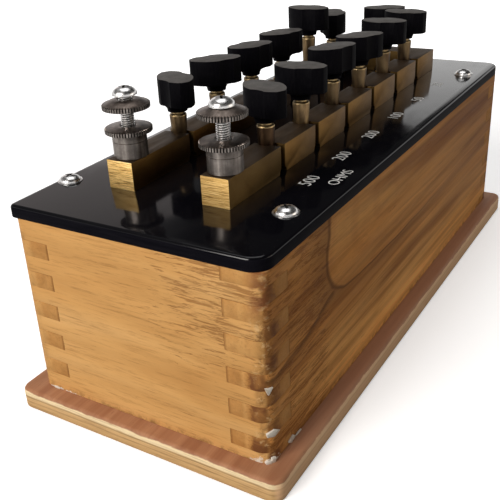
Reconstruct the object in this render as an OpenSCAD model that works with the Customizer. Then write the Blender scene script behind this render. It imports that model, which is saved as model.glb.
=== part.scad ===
// Plug resistance box: finger-jointed case, moulded panel, two rows of brass blocks
// bridged by tapered plugs, two wire terminals and the coils under the panel.
// Units mm. Origin at the middle of the base's underside, +X along the length with the
// terminals at the -X end, +Z up. Right is the -Y side, left the +Y side.

/* [Case] */
// Length of the case
box_l = 254; // [250:1:280]
// Width of the case
box_w = 101.5; // [98:0.5:120]
// Height of the walls
box_h = 71; // [68:1:90]
// Thickness of the walls
wall_t = 15; // [12:0.5:16]
// Height of a finger in the corner joints
finger_h = 6.2; // [5:0.1:8]
// Height of the topmost finger in the left corners
left_finger_top = 8; // [3:0.1:9]
// Height of the topmost finger in the right corners
right_finger_top = 4.9; // [3:0.1:8]
// Rounding of the upright corners
case_edge_r = 5; // [1:0.5:6]

/* [Base] */
// Thickness of the base board
base_t = 8.5; // [6:0.5:14]
// How far the base stands out past the case
base_overhang = 6.7; // [3:0.1:15]
// Corner rounding of the base
base_corner_r = 4.5; // [3:0.5:14]

/* [Panel] */
// Thickness of the panel
panel_t = 4.8; // [4:0.1:8]
// How far the panel stands out past the case
panel_overhang = 0.3; // [0:0.1:2]
// Corner rounding of the panel on the right side
panel_corner_r = 7; // [3:0.5:10]
// Corner rounding of the panel on the left side
panel_left_corner_r = 2; // [1:0.5:10]
// Panel screws: distance of the front right one from the panel's front end
panel_screw_front_right = 33.7; // [24:0.1:36]
// Panel screws: distance of the front left one from the panel's front end
panel_screw_front_left = 27; // [24:0.1:36]
// Panel screws: distance of the rear ones from the panel's rear end
panel_screw_rear = 29; // [24:0.1:34]
// Panel screws: distance from the right edge, the one with the numbers
panel_screw_right = 10.3; // [7:0.1:11]
// Panel screws: distance from the left edge
panel_screw_left = 4.8; // [4.8:0.1:9.5]
// Panel screws: shank diameter
panel_screw_d = 3.8; // [3:0.1:4.2]
// Panel screws: shank length under the head
panel_screw_l = 25; // [15:1:40]
// Panel screws: head diameter
panel_screw_head_d = 9.2; // [7:0.1:9.4]
// Panel screws: head height
panel_screw_head_h = 2.4; // [2:0.1:3.5]

/* [Rows of blocks] */
// Distance of the right row's midline from the right face of the case
right_row_edge = 33.25; // [31:0.05:36]
// Distance of the left row's midline from the left face of the case
left_row_edge = 28.45; // [26.5:0.05:30]
// Distance of the rows' front ends from the front of the case
row_front_edge = 27.7; // [26:0.1:32]
// Distance of the rows' far ends from the rear of the case
row_rear_edge = 23.7; // [20:0.1:28]
// Length of the first blocks, from their front end to the first gap's middle
first_block_l = 37.3; // [36:0.1:40]
// Length of the last blocks, from the last gap's middle to their far end
last_block_l = 25.3; // [24:0.1:28]
// Width of a block
block_w = 11; // [10:0.1:12]
// Height of a block
block_h = 10.5; // [9:0.1:13]
// Gap between neighbouring blocks
gap_w = 3; // [2:0.1:3.6]
// Radius of the undercut at the foot of a gap
notch_r = 2.6; // [2.2:0.1:3]
// How far the right row's sockets stand off the blocks' midline, towards the panel's middle
right_socket_off = 1.3; // [0:0.1:1.5]

/* [Plugs] */
// Pin diameter where it enters the blocks
pin_d = 6; // [5:0.1:6.5]
// Change of pin diameter per mm of length
pin_taper = 0.1; // [0.04:0.01:0.14]
// Height of the pin's tip over the panel
pin_tip_gap = 1; // [0.6:0.1:2]
// Length of bare brass between the blocks and a handle
stem_l = 8.3; // [5:0.1:12]
// Diameter of the neck between a pin's shoulder and the handle
pin_neck_d = 4.8; // [4:0.1:5.5]
// Length of that neck
pin_neck_l = 1; // [0.5:0.1:3]
// Rounding of a pin's shoulder
shoulder_r = 0.8; // [0.3:0.1:1]
// Spigot that goes up into the handle: diameter
spigot_d = 3.6; // [3:0.1:4.5]
// Spigot: length
spigot_l = 8; // [5:0.5:9]
// Length of a handle's blade
handle_l = 20.8; // [18:0.1:24]
// Width of a handle's blade
handle_w = 13; // [11:0.1:13.5]
// How far the flanks would run past a handle's ends to meet
blade_point = 1.2; // [0.5:0.1:3]
// Thumb hollows: distance from the middle of the blade
thumb_at = 6; // [3:0.1:7]
// Thumb hollows: radius
thumb_r = 9; // [6:0.5:14]
// Thumb hollows: depth
thumb_depth = 0.4; // [0.3:0.1:1.5]
// Height of a handle
handle_h = 12.8; // [11:0.1:16]
// Diameter of a handle's neck
neck_d = 7.6; // [7.4:0.1:8.4]
// Radius of the sweep from the neck into the blade
sweep_r = 3; // [2:0.1:3.6]
// How far the fifth plug of the left row stands drawn
drawn = 7; // [0:0.5:7.5]

/* [Terminals] */
// Distance of a terminal's axis from the front end of its row
terminal_inset = 7.3; // [6:0.1:8]
// Terminal screw: diameter
terminal_d = 5; // [4:0.1:5]
// Terminal screw: height of the head's underside over the panel
terminal_h = 32.7; // [30:0.1:38]
// Terminal screw: how deep it goes into the block
terminal_grip = 8.5; // [6:0.5:8.5]
// Terminal screw: head diameter
terminal_head_d = 8.8; // [7.5:0.1:10]
// Terminal screw: head height
terminal_head_h = 3; // [2.5:0.1:4.5]
// Lower nut: diameter of the hub
hub_d = 12.4; // [10:0.1:13]
// Lower nut: height of the hub
hub_h = 8.9; // [6:0.1:9.5]
// Both nuts: diameter of the knurled rim
rim_d = 17; // [15:0.1:19]
// Both nuts: thickness of the rim
rim_h = 1.8; // [1.4:0.1:2.4]
// Both nuts: height of the cone on the rim
cone_h = 1.5; // [1:0.1:2]
// Height of the cone on a lower nut's rim
lower_cone_h = 0.6; // [0.3:0.1:1.5]
// Both nuts: diameter of the cone's top
cone_d = 9; // [8:0.1:11]
// Teeth of the knurl
knurl_teeth = 52; // [24:2:60]
// Depth of the knurl
knurl_depth = 0.45; // [0.2:0.05:0.7]
// How far the left upper nut is screwed down
left_nut_down = 1.4; // [0:0.1:3]

/* [Coils] */
// Bobbin: diameter of the flanges
flange_d = 22; // [18:0.5:24]
// Bobbin: thickness of a flange
flange_t = 2; // [1.5:0.1:3]
// Bobbin: diameter of the core
core_d = 9; // [8:0.1:11]
// Bobbin: length between the flanges
wound_l = 34; // [24:1:36]
// Bobbin: diameter of the spacer under the panel
spacer_d = 7; // [6:0.1:8]
// Bobbin: length of the spacer
spacer_l = 8; // [6:0.5:9]
// Thickness of the thinnest winding
winding_t = 1.5; // [1:0.1:2]
// Extra thickness of each further winding
winding_step = 0.5; // [0.2:0.05:0.6]
// Diameter of a lead
lead_d = 1.2; // [0.8:0.1:1.6]

/* [Small screws and fits] */
// Block and bobbin screws: shank diameter
screw_d = 3; // [2.5:0.1:3]
// Block and bobbin screws: head diameter
screw_head_d = 5.5; // [5:0.1:6]
// Block and bobbin screws: head height
screw_head_h = 2.4; // [1.8:0.1:2.6]
// How deep the block screws go into the blocks
block_screw_grip = 7; // [4:0.5:7.5]
// Distance of a block screw from the gap it serves
block_screw_gap = 7.5; // [7:0.1:8.5]
// How deep the bobbin screws go into the panel
bobbin_screw_grip = 3.2; // [2:0.1:3.2]
// Play around a screw in a clearance hole, each side
screw_play = 0.2; // [0.1:0.05:0.3]
// Close fit of a fixed shank or spigot, each side
close_fit = 0.05; // [0.02:0.01:0.08]
// Play of a seated plug in its socket, each side
plug_fit = 0.05; // [0.02:0.01:0.1]
// Play of a nut on its screw, each side
nut_fit = 0.1; // [0.05:0.01:0.15]

/* [Hidden] */
$fn = 64;
eps = 0.5;
gaps = 6;
blocks = gaps + 1;
base_l = box_l + 2 * base_overhang;
base_w = box_w + 2 * base_overhang;
panel_l = box_l + 2 * panel_overhang;
panel_w = box_w + 2 * panel_overhang;
panel_z = base_t + box_h;
top_z = panel_z + panel_t;
block_z = top_z + block_h;

// Corner joints: courses of fingers counted down from the top; the last takes the rest
function courses(top) = 1 + round((box_h - top) / finger_h);
function course_z(top, i) = i == 0 ? box_h : i == courses(top) ? 0
    : box_h - top - (i - 1) * finger_h;

// Rows
row_y = [right_row_edge - box_w / 2, box_w / 2 - left_row_edge];
row_spacing = row_y[1] - row_y[0];
plug_y = [row_y[0] + right_socket_off, row_y[1]];
row_front = row_front_edge - box_l / 2;
row_end = box_l / 2 - row_rear_edge;
gap_pitch = (row_end - row_front - first_block_l - last_block_l) / (gaps - 1);
cross_x = row_end - block_w / 2;
cross_y = (row_y[0] + row_y[1]) / 2;
function gap_x(k) = row_front + first_block_l + (k - 1) * gap_pitch;
function block_from(k) = k == 1 ? row_front : gap_x(k - 1) + gap_w / 2;
function block_to(k) = k == blocks ? row_end : gap_x(k) - gap_w / 2;

// Screw places of block k in row r
function screw_places(r, k) =
    k == 1 ? [[gap_x(1) - block_screw_gap, row_y[r]],
              [gap_x(1) - gap_pitch + block_screw_gap, row_y[r]]]
    : k == blocks ? [[gap_x(gaps) + block_screw_gap, row_y[r]], [cross_x, row_y[r]]]
    : [[gap_x(k - 1) + block_screw_gap, row_y[r]], [gap_x(k) - block_screw_gap, row_y[r]]];
all_block_screws = [for (r = [0, 1], k = [1:blocks], p = screw_places(r, k)) p];
all_gaps = [for (r = [0, 1], k = [1:gaps]) [gap_x(k), row_y[r]]];
panel_screw_y = [panel_screw_right - panel_w / 2, panel_w / 2 - panel_screw_left];
panel_screw_places = [
    [panel_screw_front_right - panel_l / 2, panel_screw_y[0]],
    [panel_screw_front_left - panel_l / 2, panel_screw_y[1]],
    [panel_l / 2 - panel_screw_rear, panel_screw_y[0]],
    [panel_l / 2 - panel_screw_rear, panel_screw_y[1]]];

// Plugs: turn of each handle about its pin, as the photograph shows them
right_turn = [64, -88, -33, -44, 90, 83];
left_turn = [55, -47, -28, -33, 84, 25];
end_turn = -72;
// Plugs: how far each stands drawn from its socket in the photograph
right_drawn = [0, 1, 2.4, 1.5, 2.6, 2];
left_drawn = [0, 1, 0.7, 0.8, drawn, 0];
tip_d = pin_d - pin_taper * (block_h - pin_tip_gap);
handle_z = block_z + stem_l;

// Terminals
terminal_x = row_front + terminal_inset;
nut_h = rim_h + cone_h;
head_z = top_z + terminal_h;
upper_nut_drop = 0.1;

// Coils, all measured down from the panel's underside
flange_z = panel_z - spacer_l - flange_t;
bobbin_l = spacer_l + 2 * flange_t + wound_l;
bobbin_z = panel_z - bobbin_l;

ROWS = ["right", "left"];

// Shared shapes

// Plate with its corners rounded, by r on the right side and by left_r on the left
module rounded_plate(l, w, r, left_r) {
    union() {
        translate([r - l / 2, -w / 2]) square([l - 2 * r, w / 2]);
        translate([-l / 2, r - w / 2]) square([l, w - r - left_r]);
        translate([left_r - l / 2, 0]) square([l - 2 * left_r, w / 2]);
        for (x = [-1, 1]) {
            translate([x * (l / 2 - r), r - w / 2]) circle(r);
            translate([x * (l / 2 - left_r), w / 2 - left_r]) circle(left_r);
        }
    }
}

// Domed head: a slice of a sphere, flat side down
module dome_head(d, h) {
    r = (d * d / 4 + h * h) / (2 * h);
    rotate_extrude() intersection() {
        translate([0, h - r]) circle(r);
        square([d, h]);
    }
}

// Small screw with a flat-topped head, head down, shank up
module small_screw(shank_l) {
    translate([0, 0, -screw_head_h]) cylinder(d = screw_head_d, h = screw_head_h);
    translate([0, 0, -screw_head_h]) cylinder(d = screw_d, h = shank_l + screw_head_h);
}

// Case

module base_board() {
    color([0.62, 0.44, 0.33]) linear_extrude(base_t)
        rounded_plate(base_l, base_w, base_corner_r, base_corner_r);
}

// Outline of a board with fingers at both ends. At each end every second course, from
// the given one on, reaches out to half the length and the others stay back by a wall.
module fingered_board(l, tops, outs) {
    function reach(e, i) = i % 2 == outs[e] ? l / 2 : l / 2 - wall_t;
    polygon(concat(
        [for (i = [0:courses(tops[1]) - 1], j = [0, 1]) [reach(1, i), course_z(tops[1], i + j)]],
        [for (i = [courses(tops[0]) - 1:-1:0], j = [1, 0]) [-reach(0, i), course_z(tops[0], i + j)]]));
}

// Walls share the case's rounded upright corners
module in_case() {
    translate([0, 0, base_t]) intersection() {
        linear_extrude(box_h) rounded_plate(box_l, box_w, case_edge_r, case_edge_r);
        children();
    }
}

// The topmost finger belongs to the end wall on the left and to the long wall on the right
module end_wall(side) {
    color([0.80, 0.63, 0.40]) in_case()
        translate([side * (box_l - wall_t) / 2 - wall_t / 2, 0, 0]) rotate([90, 0, 90])
            linear_extrude(wall_t)
                fingered_board(box_w, [right_finger_top, left_finger_top], [1, 0]);
}

module side_wall(side) {
    top = side > 0 ? left_finger_top : right_finger_top;
    out = side > 0 ? 1 : 0;
    color([0.66, 0.46, 0.28]) difference() {
        in_case() translate([0, side * (box_w - wall_t) / 2 + wall_t / 2, 0]) rotate([90, 0, 0])
            linear_extrude(wall_t) fingered_board(box_l, [top, top], [out, out]);
        for (p = panel_screw_places)
            translate([p[0], p[1], top_z - panel_screw_l - eps])
                cylinder(d = panel_screw_d + 2 * close_fit, h = panel_screw_l + eps);
    }
}

module front_wall() end_wall(-1);
module rear_wall() end_wall(1);
module left_wall() side_wall(1);
module right_wall() side_wall(-1);

// Panel

module panel() {
    color([0.07, 0.07, 0.08]) difference() {
        translate([0, 0, panel_z]) linear_extrude(panel_t)
            rounded_plate(panel_l, panel_w, panel_corner_r, panel_left_corner_r);
        for (p = panel_screw_places) translate([p[0], p[1], panel_z - eps])
            cylinder(d = panel_screw_d + 2 * screw_play, h = panel_t + 2 * eps);
        for (p = all_block_screws) translate([p[0], p[1], panel_z - eps])
            cylinder(d = screw_d + 2 * screw_play, h = panel_t + 2 * eps);
        for (p = all_gaps) translate([p[0], p[1], panel_z - eps])
            cylinder(d = screw_d + 2 * close_fit, h = bobbin_screw_grip + eps);
    }
}

module panel_screws() {
    color([0.75, 0.75, 0.75]) for (p = panel_screw_places) translate([p[0], p[1], top_z]) {
        dome_head(panel_screw_head_d, panel_screw_head_h);
        translate([0, 0, -panel_screw_l]) cylinder(d = panel_screw_d, h = panel_screw_l);
    }
}

// Blocks

// Half of this socket is cut from each block beside a gap
module socket() {
    top_d = pin_d + pin_taper * eps;
    low_d = pin_d - pin_taper * (block_h + eps);
    translate([0, 0, top_z - eps])
        cylinder(d1 = low_d + 2 * plug_fit, d2 = top_d + 2 * plug_fit, h = block_h + 2 * eps);
}

// A gap across one row, undercut at its foot
module row_gap(k, r) {
    translate([gap_x(k), plug_y[r], 0]) {
        socket();
        translate([0, block_w, top_z]) rotate([90, 0, 0]) cylinder(r = notch_r, h = 2 * block_w);
    }
}

// The gap between the two last blocks
module cross_gap() {
    translate([cross_x, cross_y, 0]) {
        socket();
        translate([-block_w, 0, top_z]) rotate([0, 90, 0]) cylinder(r = notch_r, h = 2 * block_w);
    }
}

module block(r, k) {
    arm = row_spacing / 2 - gap_w / 2;
    color([0.80, 0.66, 0.38]) difference() {
        translate([0, 0, top_z]) linear_extrude(block_h) union() {
            translate([block_from(k), row_y[r] - block_w / 2])
                square([block_to(k) - block_from(k), block_w]);
            if (k == blocks) translate([cross_x - block_w / 2, r == 0 ? row_y[0] : row_y[1] - arm])
                square([block_w, arm]);
        }
        if (k > 1) row_gap(k - 1, r);
        if (k < blocks) row_gap(k, r);
        if (k == blocks) cross_gap();
        if (k == 1) translate([terminal_x, row_y[r], block_z - terminal_grip])
            cylinder(d = terminal_d + 2 * close_fit, h = terminal_grip + eps);
        for (p = screw_places(r, k)) translate([p[0], p[1], top_z - eps])
            cylinder(d = screw_d + 2 * close_fit, h = block_screw_grip + eps);
    }
}

module block_screws() {
    color([0.72, 0.60, 0.34]) for (p = all_block_screws) translate([p[0], p[1], panel_z])
        small_screw(panel_t + block_screw_grip);
}

// Plugs

// Tapered pin with a rounded tip and shoulder, a neck and a spigot, about its own axis
module pin_shape() {
    shoulder_z = stem_l - pin_neck_l;
    stem_r = (pin_d + pin_taper * (shoulder_z - shoulder_r)) / 2;
    color([0.82, 0.68, 0.38]) union() {
        rotate_extrude() intersection() {
            union() {
                polygon([[0, pin_tip_gap - block_h], [tip_d / 2, pin_tip_gap - block_h],
                         [stem_r, shoulder_z - shoulder_r], [0, shoulder_z - shoulder_r]]);
                square([stem_r - shoulder_r, shoulder_z]);
                translate([stem_r - shoulder_r, shoulder_z - shoulder_r]) circle(shoulder_r);
            }
            translate([0, pin_tip_gap - block_h + tip_d * 0.9]) union() {
                circle(tip_d * 0.9);
                translate([0, -0.55 * tip_d]) square([pin_d, block_h + stem_l]);
            }
        }
        cylinder(d = pin_neck_d, h = stem_l);
        cylinder(d = spigot_d, h = stem_l + spigot_l);
    }
}

// Handle: a pointed oval blade with a thumb hollow in each flank, its underside turned
// down to a neck
module handle_shape() {
    long = handle_l / 2 + blade_point;
    flank = (long * long + handle_w * handle_w / 4) / handle_w;
    thumb_y = sqrt(flank * flank - thumb_at * thumb_at) - flank + handle_w / 2 + thumb_r - thumb_depth;
    color([0.06, 0.06, 0.06]) difference() {
        intersection() {
            linear_extrude(handle_h) difference() {
                intersection() {
                    translate([0, handle_w / 2 - flank]) circle(flank, $fn = 180);
                    translate([0, flank - handle_w / 2]) circle(flank, $fn = 180);
                    circle(d = handle_l);
                }
                for (s = [-1, 1]) translate([-s * thumb_at, s * thumb_y]) circle(thumb_r);
            }
            rotate_extrude() difference() {
                square([handle_l, handle_h]);
                translate([neck_d / 2 + sweep_r, 0]) {
                    circle(sweep_r);
                    translate([0, -eps]) square([handle_l, sweep_r + eps]);
                }
            }
        }
        translate([0, 0, -eps]) cylinder(d = spigot_d + 2 * close_fit, h = spigot_l + 2 * eps);
    }
}

function plug_lift(r, k) = r == 0 ? right_drawn[k - 1] : left_drawn[k - 1];

module pin(r, k) translate([gap_x(k), plug_y[r], block_z + plug_lift(r, k)]) pin_shape();

module handle(r, k)
    translate([gap_x(k), plug_y[r], handle_z + plug_lift(r, k)])
        rotate([0, 0, r == 0 ? right_turn[k - 1] : left_turn[k - 1]]) handle_shape();

module end_plug_pin() translate([cross_x, cross_y, block_z]) pin_shape();

module end_plug_handle()
    translate([cross_x, cross_y, handle_z]) rotate([0, 0, end_turn]) handle_shape();

// Terminals

// Knurled rim with a cone on top, bored for its screw
module nut_top(cone) {
    linear_extrude(rim_h) polygon([for (i = [0:2 * knurl_teeth - 1])
        let (a = 180 * i / knurl_teeth, q = rim_d / 2 - (i % 2) * knurl_depth)
            [q * cos(a), q * sin(a)]]);
    translate([0, 0, rim_h])
        cylinder(d1 = rim_d - 2 * knurl_depth - 0.4, d2 = cone_d, h = cone);
}

module lower_nut(r) {
    color([0.70, 0.69, 0.66]) translate([terminal_x, row_y[r], block_z]) difference() {
        union() {
            cylinder(d = hub_d, h = hub_h);
            translate([0, 0, hub_h]) nut_top(lower_cone_h);
        }
        translate([0, 0, -eps])
            cylinder(d = terminal_d + 2 * nut_fit, h = hub_h + rim_h + lower_cone_h + 2 * eps);
    }
}

module upper_nut(r) {
    color([0.70, 0.69, 0.66])
        translate([terminal_x, row_y[r], head_z - upper_nut_drop - nut_h - r * left_nut_down])
            difference() {
                nut_top(cone_h);
                translate([0, 0, -eps])
                    cylinder(d = terminal_d + 2 * nut_fit, h = nut_h + 2 * eps);
            }
}

module terminal_screw(r) {
    color([0.80, 0.80, 0.80]) translate([terminal_x, row_y[r], head_z]) {
        dome_head(terminal_head_d, terminal_head_h);
        translate([0, 0, block_z - terminal_grip - head_z])
            cylinder(d = terminal_d, h = head_z - block_z + terminal_grip);
    }
}

// Coils

module coil_bobbins() {
    color([0.70, 0.54, 0.36]) for (p = all_gaps) translate([p[0], p[1], bobbin_z]) difference() {
        union() {
            cylinder(d = flange_d, h = flange_t);
            cylinder(d = core_d, h = 2 * flange_t + wound_l);
            translate([0, 0, flange_t + wound_l]) cylinder(d = flange_d, h = flange_t);
            cylinder(d = spacer_d, h = bobbin_l);
        }
        translate([0, 0, -eps]) cylinder(d = screw_d + 2 * screw_play, h = bobbin_l + 2 * eps);
    }
}

// The higher resistances, nearest the terminals, carry more wire
module coil_windings() {
    color([0.45, 0.24, 0.14]) for (r = [0, 1], k = [1:gaps])
        translate([gap_x(k), row_y[r], bobbin_z + flange_t]) difference() {
            cylinder(d = core_d + 2 * (winding_t + winding_step * (gaps - k)), h = wound_l);
            translate([0, 0, -eps]) cylinder(d = core_d + 2 * close_fit, h = wound_l + 2 * eps);
        }
}

module coil_leads() {
    top = panel_z - screw_head_h;
    foot = flange_z + flange_t;
    color([0.72, 0.42, 0.25]) for (p = all_gaps, s = [-1, 1])
        translate([p[0] + s * block_screw_gap, p[1], foot]) cylinder(d = lead_d, h = top - foot);
}

module bobbin_screws() {
    color([0.72, 0.60, 0.34]) for (p = all_gaps) translate([p[0], p[1], bobbin_z])
        small_screw(bobbin_l + bobbin_screw_grip);
}

// The nodes

base_board();
front_wall();
rear_wall();
left_wall();
right_wall();
panel();
panel_screws();
block_screws();
coil_bobbins();
coil_windings();
coil_leads();
bobbin_screws();
for (r = [0, 1], k = [1:blocks])
    block(r, k);
for (r = [0, 1], k = [1:gaps])
    pin(r, k);
for (r = [0, 1], k = [1:gaps])
    handle(r, k);
end_plug_pin();
end_plug_handle();
for (r = [0, 1]) lower_nut(r);
for (r = [0, 1]) upper_nut(r);
for (r = [0, 1]) terminal_screw(r);
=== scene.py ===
# %% [markdown]
# # A plug resistance box, dressed for the photograph
#
# The CAD model gives every piece its size and place. This lesson dresses that frame: it
# rounds the edges, cuts the threads and knurls, letters the panel and mixes a finish for
# each material. Everything is in metres, in the frame of the CAD model: +X runs from the
# terminals along the box, +Z is up, and the numbered edge is on the -Y side.

import math
import random

import bpy
from mathutils import Matrix, Vector


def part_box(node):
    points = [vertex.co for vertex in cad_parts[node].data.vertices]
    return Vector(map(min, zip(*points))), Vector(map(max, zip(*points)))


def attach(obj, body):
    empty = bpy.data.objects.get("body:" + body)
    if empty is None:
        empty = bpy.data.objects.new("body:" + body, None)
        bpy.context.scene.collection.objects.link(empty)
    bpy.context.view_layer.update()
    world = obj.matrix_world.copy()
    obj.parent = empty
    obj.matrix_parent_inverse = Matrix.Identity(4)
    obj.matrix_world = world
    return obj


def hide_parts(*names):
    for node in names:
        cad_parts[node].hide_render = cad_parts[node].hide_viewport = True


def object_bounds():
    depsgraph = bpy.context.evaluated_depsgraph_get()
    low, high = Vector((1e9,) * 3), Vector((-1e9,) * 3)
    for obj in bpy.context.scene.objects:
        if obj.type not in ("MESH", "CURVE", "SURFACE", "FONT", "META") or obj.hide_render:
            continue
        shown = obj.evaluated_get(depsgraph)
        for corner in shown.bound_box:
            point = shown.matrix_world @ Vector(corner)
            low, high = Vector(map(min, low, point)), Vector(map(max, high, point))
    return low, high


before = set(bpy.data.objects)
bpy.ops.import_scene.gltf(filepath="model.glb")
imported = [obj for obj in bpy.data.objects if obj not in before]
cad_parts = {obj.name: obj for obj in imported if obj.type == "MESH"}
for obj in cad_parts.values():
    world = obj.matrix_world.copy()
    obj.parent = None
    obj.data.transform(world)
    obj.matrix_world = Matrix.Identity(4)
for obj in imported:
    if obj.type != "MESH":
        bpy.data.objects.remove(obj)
cad_low, cad_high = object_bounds()
MM = 0.001
ROWS = ("right", "left")
GAPS = range(1, 7)
BLOCKS = range(1, 8)
print("nodes:", len(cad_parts), "box:", cad_low, cad_high)

# %% [markdown]
# ## Camera
#
# The photograph looks down on the near corner from close by, so the box narrows strongly
# towards its far end. The place, the two angles and the slight roll were solved from the
# edges of the case; the lens follows from the same solution.

# %% Camera at the photograph's place
CAMERA_PLACE = Vector((-0.29715, -0.15133, 0.18566))
CAMERA_AZIMUTH = math.radians(-56.716)
CAMERA_ELEVATION = math.radians(26.185)
CAMERA_ROLL = math.radians(3.608)
FOCAL_PIXELS = 779.36
FRAME_PIXELS = 500
PRINCIPAL_X = 228.69
SENSOR_WIDTH = 36.0
NEAR_CLIP = 0.01

bpy.ops.object.select_all(action="DESELECT")
bpy.ops.object.camera_add(location=CAMERA_PLACE)
camera = bpy.context.object
camera.name = "photo_camera"
camera.rotation_mode = "QUATERNION"
back = Vector((math.sin(CAMERA_AZIMUTH) * math.cos(CAMERA_ELEVATION),
               -math.cos(CAMERA_AZIMUTH) * math.cos(CAMERA_ELEVATION),
               math.sin(CAMERA_ELEVATION)))
level = (-back).to_track_quat("-Z", "Y")
camera.rotation_quaternion = level @ Matrix.Rotation(-CAMERA_ROLL, 3, "Z").to_quaternion()
camera.data.sensor_width = SENSOR_WIDTH
camera.data.lens = SENSOR_WIDTH * FOCAL_PIXELS / FRAME_PIXELS
camera.data.shift_x = (FRAME_PIXELS / 2 - PRINCIPAL_X) / FRAME_PIXELS
camera.data.clip_start = NEAR_CLIP
bpy.context.scene.camera = camera
print("lens", round(camera.data.lens, 2), "shift", round(camera.data.shift_x, 4))

# %% [markdown]
# ## Working by hand, in code
#
# The next cells hold the few moves that every piece uses: clear the selection, open a
# piece in edit mode, choose vertices, edges or faces by where they are, and apply a
# modifier. Operators act on whatever is selected, so each one starts from nothing.

# %% Selecting and editing
SELECT_MODES = {"vertices": (True, False, False), "edges": (False, True, False),
                "polygons": (False, False, True)}
TOUCHING = 1e-6


def drop_all():
    """Leaves edit mode and selects nothing."""
    active = bpy.context.view_layer.objects.active
    if active is not None and active.mode != "OBJECT":
        bpy.ops.object.mode_set(mode="OBJECT")
    bpy.ops.object.select_all(action="DESELECT")


def take(piece):
    """Makes a piece the only one selected, in object mode."""
    drop_all()
    piece.select_set(True)
    bpy.context.view_layer.objects.active = piece


def open_up(piece):
    """Opens a piece in edit mode with all of it selected."""
    take(piece)
    bpy.ops.object.mode_set(mode="EDIT")
    bpy.ops.mesh.select_all(action="SELECT")


def choose(piece, kind, test):
    """Selects the vertices, edges or polygons whose corner points pass the test."""
    take(piece)
    bpy.context.tool_settings.mesh_select_mode = SELECT_MODES[kind]
    mesh = piece.data
    for group in (mesh.vertices, mesh.edges, mesh.polygons):
        group.foreach_set("select", [False] * len(group))
    for item in getattr(mesh, kind):
        corners = [item.index] if kind == "vertices" else item.vertices
        item.select = test([mesh.vertices[i].co for i in corners])
    bpy.ops.object.mode_set(mode="EDIT")


def close_up(piece):
    """Merges doubles, turns the faces outwards and leaves edit mode."""
    open_up(piece)
    bpy.ops.mesh.remove_doubles(threshold=TOUCHING)
    bpy.ops.mesh.normals_make_consistent(inside=False)
    bpy.ops.object.mode_set(mode="OBJECT")


def apply_modifier(piece, kind, **settings):
    """Adds a modifier, sets it and applies it."""
    take(piece)
    modifier = piece.modifiers.new(kind.lower(), kind)
    for setting, value in settings.items():
        setattr(modifier, setting, value)
    bpy.ops.object.modifier_apply(modifier=modifier.name)


def smooth(piece, degrees=24):
    """Shades a piece smooth, but not across edges sharper than an angle."""
    take(piece)
    bpy.ops.object.shade_smooth_by_angle(angle=math.radians(degrees))


def settle(piece, place, turn=0.0):
    """Puts a piece in its place and writes that place into its mesh."""
    take(piece)
    piece.location = place
    piece.rotation_euler = (0, 0, turn)
    bpy.ops.object.transform_apply()


def copy_of(master, name, place, turn=0.0):
    """A copy with a mesh of its own, put in its place."""
    piece = master.copy()
    piece.data = master.data.copy()
    piece.name = piece.data.name = name
    bpy.context.collection.objects.link(piece)
    settle(piece, place, turn)
    return piece


def discard(piece):
    bpy.data.objects.remove(piece)


def mount(piece, body, slot, finish, *nodes):
    """Gives a piece its finish and body, and hides the nodes that it stands for. The slot is not used."""
    piece.data.materials.clear()
    piece.data.materials.append(finish.material)
    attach(piece, body)
    if nodes:
        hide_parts(*nodes)
    return piece


print("moves ready, ways to select:", ", ".join(SELECT_MODES))

# %% [markdown]
# ## Rounding a CAD piece
#
# A CAD node has perfectly sharp edges, and sharp edges catch no light. A copy of the node
# is merged, its flat faces are joined again, and a narrow bevel goes along every corner.
# The node itself stays as it is, out of sight.

# %% Copy a node and soften its edges
FLAT = math.radians(0.4)
CORNER = math.radians(35)


def softened(node, name, width, segments=2):
    """A copy of a node with a narrow bevel along its corners."""
    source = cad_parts[node]
    piece = bpy.data.objects.new(name, source.data.copy())
    bpy.context.collection.objects.link(piece)
    open_up(piece)
    bpy.ops.mesh.customdata_custom_splitnormals_clear()
    bpy.ops.mesh.remove_doubles(threshold=TOUCHING)
    bpy.ops.mesh.dissolve_limited(angle_limit=FLAT)
    bpy.ops.object.mode_set(mode="OBJECT")
    apply_modifier(piece, "BEVEL", width=width, segments=segments, limit_method="ANGLE",
                   angle_limit=CORNER, use_clamp_overlap=True)
    smooth(piece)
    return piece


print("corners sharper than", round(math.degrees(CORNER)), "degrees will be eased")

# %% [markdown]
# ## Turning on a lathe
#
# Pins, nuts and screw heads are turned parts. Half their outline is drawn by extruding one
# vertex from point to point, and Spin carries it round the axis.

# %% Draw an outline and spin it
TURN_STEPS = 64


def draw_outline(name, points):
    """A chain of edges in the XZ plane through (radius, height) points in mm."""
    drop_all()
    bpy.context.tool_settings.mesh_select_mode = SELECT_MODES["vertices"]
    bpy.ops.mesh.primitive_plane_add(size=MM)
    piece = bpy.context.object
    piece.name = piece.data.name = name
    open_up(piece)
    bpy.ops.mesh.merge(type="CENTER")
    radius, height = points[0]
    bpy.ops.transform.translate(value=(radius * MM, 0, height * MM))
    for after in points[1:]:
        step = ((after[0] - radius) * MM, 0, (after[1] - height) * MM)
        bpy.ops.mesh.extrude_vertices_move(TRANSFORM_OT_translate={"value": step})
        radius, height = after
    return piece


def turned(name, points, steps=TURN_STEPS):
    """A solid of revolution about the upright axis."""
    piece = draw_outline(name, points)
    bpy.ops.mesh.select_all(action="SELECT")
    bpy.ops.mesh.spin(steps=steps, angle=math.tau, center=(0, 0, 0), axis=(0, 0, 1))
    close_up(piece)
    return piece


print("lathe ready,", TURN_STEPS, "steps to a turn")

# %% [markdown]
# ## Mixing finishes
#
# Each finish is a small recipe of shader nodes. All of them read Object coordinates, and
# because every piece sits at the origin those are places on the box itself, here counted
# in millimetres. A grain or a brushing is noise that is stretched along one direction. The
# room's light at the end is mixed with the same moves.

# %% A recipe of shader nodes


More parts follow.
